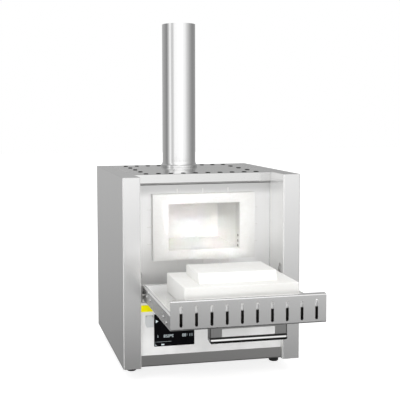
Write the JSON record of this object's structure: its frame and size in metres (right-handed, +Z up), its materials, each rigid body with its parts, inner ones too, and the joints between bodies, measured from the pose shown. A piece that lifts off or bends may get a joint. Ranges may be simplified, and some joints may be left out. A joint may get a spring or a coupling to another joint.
{
  "type": "ashing furnace",
  "caption": "Bench-top ashing furnace with a fold-down insulated door, fibre-lined chamber, control panel with display, and a lift-off exhaust stack",
  "frame": {"origin": "on the floor, at the middle of the rectangle that the furnace covers with its door open and its stack on", "axes": "+Z up and along the height, the longest extent; -Y the front, where the door opens; +X to the right as seen from the front, across the width, the shortest extent"},
  "size_m": [0.385, 0.6118, 0.769],
  "materials": {
    "stainless_steel": "brushed, satin",
    "dark_steel": "polished dark grey stainless",
    "zinc_steel": "plain satin",
    "ceramic_fibre": "matt, softly mottled",
    "fired_ceramic": "matt",
    "white_panel": "satin white film over sheet",
    "accent_yellow": "satin",
    "display_black": "glossy black",
    "black_plastic": "fine grained",
    "black_rubber": "matt",
    "rocker_red": "satin",
    "circuit_board": "solder mask",
    "brass": "plain",
    "aluminium": "extruded, plain"
  },
  "bodies": {
    "housing": {"left_side_panel": "stainless_steel", "right_side_panel": "stainless_steel", "top_cover": "dark_steel", "rear_panel": "stainless_steel", "base_pan": "dark_steel", "feet": "black_rubber", "foot_screws": "zinc_steel", "heat_shield": "zinc_steel", "front_plate": "stainless_steel", "inner_casing": "zinc_steel", "casing_rails": "zinc_steel", "fibre_collar": "ceramic_fibre", "insulation_top": "ceramic_fibre", "insulation_bottom": "ceramic_fibre", "insulation_left": "ceramic_fibre", "insulation_right": "ceramic_fibre", "insulation_rear": "ceramic_fibre", "heating_plate_left": "fired_ceramic", "heating_plate_right": "fired_ceramic", "floor_tile": "fired_ceramic", "heater_terminals": "zinc_steel", "thermocouple": "fired_ceramic", "flue_tube": "fired_ceramic", "flue_spigot": "stainless_steel", "control_panel": "white_panel", "accent_strip": "accent_yellow", "display_module": "display_black", "controller_board": "circuit_board", "board_standoffs": "brass", "port_hinge_pin": "stainless_steel", "service_port": "zinc_steel", "solid_state_relay": "black_plastic", "heat_sink": "aluminium", "terminal_block": "fired_ceramic", "mains_inlet": "black_plastic", "power_switch": "black_plastic", "hinge_brackets": "dark_steel", "hinge_pins": "zinc_steel", "catch_springs": "zinc_steel", "rear_screws": "zinc_steel"},
    "door": {"door_shell": "stainless_steel", "door_core": "ceramic_fibre", "door_liner": "stainless_steel", "door_baffle": "zinc_steel", "door_slab": "ceramic_fibre", "door_plug": "ceramic_fibre", "door_handle": "stainless_steel", "door_stop_pins": "zinc_steel", "door_screws": "zinc_steel", "hinge_arms": "zinc_steel"},
    "stack": {"exhaust_stack": "stainless_steel"},
    "port_flap": {"port_cover": "stainless_steel"},
    "rocker": {"power_rocker": "rocker_red"}
  },
  "joints": [
    {"name": "door_hinge", "type": "hinge", "parent": "housing", "child": "door", "pos_m": [0, -0.06072, 0.17884], "axis": [-1, 0, 0], "range_deg": [0, 90]},
    {"name": "stack_lift", "type": "slide", "parent": "housing", "child": "stack", "axis": [0, 0, 1], "range_m": [0, 0.06]},
    {"name": "port_cover_hinge", "type": "hinge", "parent": "housing", "child": "port_flap", "pos_m": [-0.136, -0.06202, 0.1345], "axis": [-1, 0, 0], "range_deg": [0, 100]},
    {"name": "power_rocker_hinge", "type": "hinge", "parent": "housing", "child": "rocker", "pos_m": [0.055, 0.30028, 0.086], "axis": [0, 0, -1], "range_deg": [0, 14]}
  ]
}
